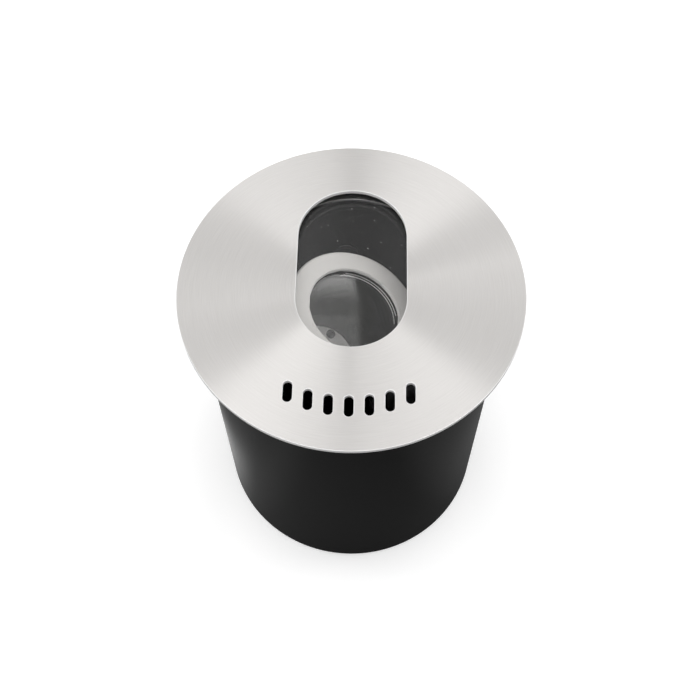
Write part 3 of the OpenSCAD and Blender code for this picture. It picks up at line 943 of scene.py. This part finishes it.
# %% The studs and the lip's thread
STUD_D = 3.0 * MM
LIP_R = 23.0 * MM
LIP_DROP = 0.4 * MM
stud_low, stud_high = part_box("port_studs")
stud_sizes = {
    "Count": 6,
    "Circle": (stud_high.x - stud_low.x - STUD_D) / 2,
    "Radius": STUD_D / 2,
    "Pitch": 0.5 * MM,
    "Length": stud_high.z - stud_low.z,
    "Material": finishes["zinc_screw"],
}
studs = plain_mesh("studs", rod_tree(stud_sizes), stud_sizes)
studs.data.transform(Matrix.Translation((0.0, to_port.translation.y, stud_low.z)))
take_place(studs, "cover", "port_studs")

lip_sizes = {
    "Radius": LIP_R,
    "Pitch": 0.6 * MM,
    "Length": 1.8 * MM,
    "Bead": 0.2 * MM,
    "Material": finishes["cut_steel"],
}
lip_thread = plain_mesh("lip_thread", lip_tree(lip_sizes), lip_sizes)
lip_foot = span_along("gimbal_ring", to_lamp)[1] - LIP_DROP - lip_sizes["Length"]
lip_thread.data.transform(to_lamp @ Matrix.Translation((0.0, 0.0, lip_foot)))
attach(lip_thread, "lamp")

# %% [markdown]
# ## Eased edges
#
# No made piece has truly sharp edges: a casting has a round, a pressing a small roll and a turned
# piece a chamfer. A copy of each solid gets that ease and stands for the solid. Flat faces are
# first joined again, since the solids come as triangles and a bevel needs the whole face. How much
# of its volume a copy keeps is printed, and that shows at once if a bevel has gone wrong.

# %% Ease the other pieces
EASES_MM = {
    "gimbal_ring": 0.22, "lamp_cup": 0.25, "gland_cap": 0.30, "cable_gland": 0.20,
    "yoke": 0.40, "pan_bolt": 0.30, "tilt_screws": 0.20, "cup_screws": 0.15,
    "bridge_bracket": 0.30, "bridge_posts": 0.40, "conduit_hub": 0.40, "bracket_screws": 0.20,
    "pan_nut": 0.30, "pan_washer": 0.15, "board_screws": 0.15,
    "cover_collar": 0.15, "cover_clips": 0.12, "port_retainer": 0.20, "port_nuts": 0.20,
}
SAME_FLAT = math.radians(0.5)
SOLID_WELD = 0.0005 * MM
SOFT_LIMIT = math.radians(35.0)


def body_name(node):
    return nodes[node].parent.name.split(":")[1]


def whole_faces(node):
    """A copy of a solid with its flat faces joined, and its volume."""
    shape = bmesh.new()
    shape.from_mesh(nodes[node].data)
    bmesh.ops.remove_doubles(shape, verts=shape.verts, dist=SOLID_WELD)
    volume = shape.calc_volume(signed=True)
    bmesh.ops.dissolve_limit(shape, angle_limit=SAME_FLAT, verts=shape.verts, edges=shape.edges)
    mesh = bpy.data.meshes.new(node + "_eased")
    shape.to_mesh(mesh)
    shape.free()
    return in_scene(node + "_eased", mesh), volume


def measured(piece):
    """A piece's volume, and how many of its edges don't join two faces."""
    shape = bmesh.new()
    shape.from_mesh(piece.data)
    volume = shape.calc_volume(signed=True)
    open_edges = sum(not edge.is_manifold for edge in shape.edges)
    shape.free()
    return volume, open_edges


for node, width in EASES_MM.items():
    piece, before = whole_faces(node)
    dress(piece, finishes[slot_of[node]])
    ease_edges(piece, width * MM, steps=2, angle=50.0)
    after, open_edges = measured(piece)
    piece.data.set_sharp_from_angle(angle=SOFT_LIMIT)
    take_place(piece, body_name(node), node)
    print(node, "keeps", round(after / before, 4), "open edges", open_edges)

# %% [markdown]
# ## The backdrop
#
# The light stands before a white backdrop. A white sky all round would light it from everywhere,
# and brushed steel would show no fans. So only the eye sees plain white. What the world lights, it
# lights evenly but for a darker gap straight behind the light and one straight before it, and the
# steel shows these two gaps as the darker fans at its top and bottom.

# %% The world
WORLD_LEVEL = 1.0
FAR_GAP = 0.18
NEAR_GAP = 0.26
GAP_WIDTH = 0.14
GAP_CHANGE = 0.2


def white_world():
    world = bpy.data.worlds.new("studio")
    bpy.context.scene.world = world
    world.use_nodes = True
    tree = Tree(world.node_tree)
    background = world.node_tree.nodes["Background"]
    background.inputs["Color"].default_value = grey(1.0)
    across, back = tree.split(tree.add("ShaderNodeTexCoord"))
    gap = tree.ramp(back, -GAP_CHANGE, GAP_CHANGE, NEAR_GAP, FAR_GAP)
    level = tree.ramp(across.math("ABSOLUTE"), 0.0, GAP_WIDTH, gap, WORLD_LEVEL, smooth=True)
    seen = tree.add("ShaderNodeLightPath", output="Is Camera Ray")
    tree.feed(background.inputs["Strength"], seen + (1 - seen) * level)
    print("world:", WORLD_LEVEL, "gaps:", FAR_GAP, NEAR_GAP)


white_world()

# %% [markdown]
# ## The floor
#
# The floor is white to the eye too, with the soft shadow of the light on it. A floor that is as
# white to every ray would wash out the wall of the black can. So for all other rays it is grey on
# the left and nearly black on the right. The can's wall still needs something to mirror, and in a
# studio a long pale card would stand beside it. Here a strip of the floor to the left of the can
# glows, and a faint one to its right, for mirrored rays only.

# %% The floor and its two strips
FLOOR_SIZE = 8.0
FLOOR_DROP = 0.05 * MM
FLOOR_TONE = 0.86
FLOOR_LEFT = 0.34
FLOOR_RIGHT = 0.08
FLOOR_REACH = 0.15
FLOOR_GLOW = 0.32
STRIP_RISE = (-0.10, -0.083)
STRIP_FALL = (-0.08, -0.05)
STRIP_BACK = (-0.045, 0.0)
STRIP_FRONT_SHARE = 0.1
STRIP_GLOW = 0.99
FAINT_RISE = (0.06, 0.09)
FAINT_GLOW = 0.132


def strips(finish, across, behind):
    """The glow of the two strips: it rises and falls across them, and fades towards the front."""
    left = finish.ramp(across, *STRIP_RISE, 0.0, STRIP_GLOW)
    left = left * finish.ramp(across, *STRIP_FALL, 1.0, 0.0)
    left = left * finish.ramp(behind, *STRIP_BACK, STRIP_FRONT_SHARE, 1.0)
    return left + finish.ramp(across, *FAINT_RISE, 0.0, FAINT_GLOW)


def floor_white():
    finish = Finish("floor_white", {"Roughness": 0.9, "Specular IOR Level": 0.2})
    seen = finish.add("ShaderNodeLightPath", output="Is Camera Ray")
    mirrored = finish.add("ShaderNodeLightPath", output="Is Glossy Ray")
    across, behind = finish.split(finish.place)
    unseen = finish.ramp(across, -FLOOR_REACH, FLOOR_REACH, FLOOR_LEFT, FLOOR_RIGHT)
    finish.colour(seen.math("MAXIMUM", unseen), grey(0.0), grey(FLOOR_TONE))
    strength = seen * FLOOR_GLOW + mirrored * strips(finish, across, behind)
    glow = finish.add("ShaderNodeEmission", None, {"Color": grey(1.0), "Strength": strength})
    finish.surface(finish.add("ShaderNodeAddShader", None, {0: finish.plain(), 1: glow}))
    return finish.material


half = FLOOR_SIZE / 2
corners = [(-half, -half), (half, -half), (half, half), (-half, half)]
floor_mesh = bpy.data.meshes.new("floor")
floor_z = cad_low.z - FLOOR_DROP
floor_mesh.from_pydata([(x, y, floor_z) for x, y in corners], [], [(0, 1, 2, 3)])
floor = in_scene("floor", floor_mesh)
dress(floor, floor_white())
print("floor:", FLOOR_SIZE, "m wide at height", floor_z)

# %% [markdown]
# ## Lamps
#
# Brushed steel shows the room as fans: light from one side spreads along the line through it and
# the middle. Small lamps would give thin, hard fans. Two long soft ones hang high above, nearly end
# to end from left to right, and seen from the front they spread over the front and the back of the
# cover, out to its diagonals. The left lamp is the stronger.

# %% Soft lamps
LAMP_SIZE = (0.20, 0.9)
LAMP_AIM = Vector((0.0, 0.0, 0.12))


def area_lamp(name, size, power):
    data = bpy.data.lights.new(name, "AREA")
    data.shape = "RECTANGLE"
    data.size, data.size_y = size
    data.energy = power
    print(name, "gives", round(power, 3), "W")
    return in_scene(name, data)


def soft_lamp(name, place, power):
    lamp = area_lamp(name, LAMP_SIZE, power)
    lamp.location = place
    lamp.rotation_euler = (LAMP_AIM - Vector(place)).to_track_quat("-Z", "Y").to_euler()


soft_lamp("over_left", (-0.35, 0.05, 1.6), power=3.2)
soft_lamp("over_right", (0.42, 0.05, 1.6), power=2.5)

# %% [markdown]
# ## What the lens mirrors
#
# The lens leans to the right and mirrors one patch of the room, up behind the light on the right.
# Two small panels stand there. Their edges follow the lines in which the lens shows them upright,
# so that the glass carries the window shaped bands of a studio. The brighter one fades out towards
# its bottom side.

# %% Panels that the lens mirrors
PANEL_CORNER = Vector((0.866, 0.818, 1.071))
PANEL_RIGHT = Vector((0.807, 0.060, -0.588)).normalized()
PANEL_DOWN = Vector((0.280, -0.910, 0.305)).normalized()


def fade_out(data, share):
    """Lets a panel fade out towards its bottom side, over this share of its height."""
    data.use_nodes = True
    tree = Tree(data.node_tree)
    rise = tree.split(tree.add("ShaderNodeNewGeometry", output="Parametric"))[1]
    strength = tree.ramp(rise, 0.0, share, smooth=True)
    tree.feed(data.node_tree.nodes["Emission"].inputs["Strength"], strength)


def lens_panel(name, left, right, top, bottom, radiance):
    """A panel given by its sides as the lens shows them, in metres from the corner."""
    across, upward = PANEL_RIGHT, -PANEL_DOWN
    away = across.cross(upward).normalized()
    middle = PANEL_CORNER + across * (left + right) / 2 + PANEL_DOWN * (top + bottom) / 2
    size = (right - left, bottom - top)
    panel = area_lamp(name, size, radiance * math.pi * size[0] * size[1])
    facing = Matrix((across, upward, away)).transposed().to_4x4()
    panel.matrix_world = Matrix.Translation(middle) @ facing
    return panel


far = lens_panel("panel_far", left=-0.13, right=0.01, top=-0.15, bottom=-0.016, radiance=8.0)
fade_out(far.data, 0.75)
lens_panel("panel_near", left=-0.30, right=0.20, top=0.003, bottom=0.20, radiance=0.5)

# %% [markdown]
# ## The camera
#
# The photograph looks down at about 63 degrees from close by. Where the camera stood could be tried
# by eye. It was worked out instead, from the ellipse of the cover and the taper that perspective
# gives the straight can.

# %% Place the camera
CAMERA_PITCH = 62.67
CAMERA_TURN = 1.1
CAMERA_REACH = 250.72 * MM
CAMERA_RISE = 424.29 * MM
CAMERA_LENS = 55.79
FRAME_SHIFT = -0.0019

camera_data = bpy.data.cameras.new("camera")
camera_data.lens = CAMERA_LENS
camera_data.shift_x = FRAME_SHIFT
camera = in_scene("camera", camera_data)
turn = Matrix.Rotation(math.radians(CAMERA_TURN), 4, "Z")
camera.location = turn @ Vector((0.0, -CAMERA_REACH, cad_high.z + CAMERA_RISE))
camera.rotation_euler = (math.radians(90 - CAMERA_PITCH), 0.0, math.radians(CAMERA_TURN))
bpy.context.scene.camera = camera
bpy.context.scene.view_settings.view_transform = "Standard"
print("camera at", [round(value, 4) for value in camera.location])
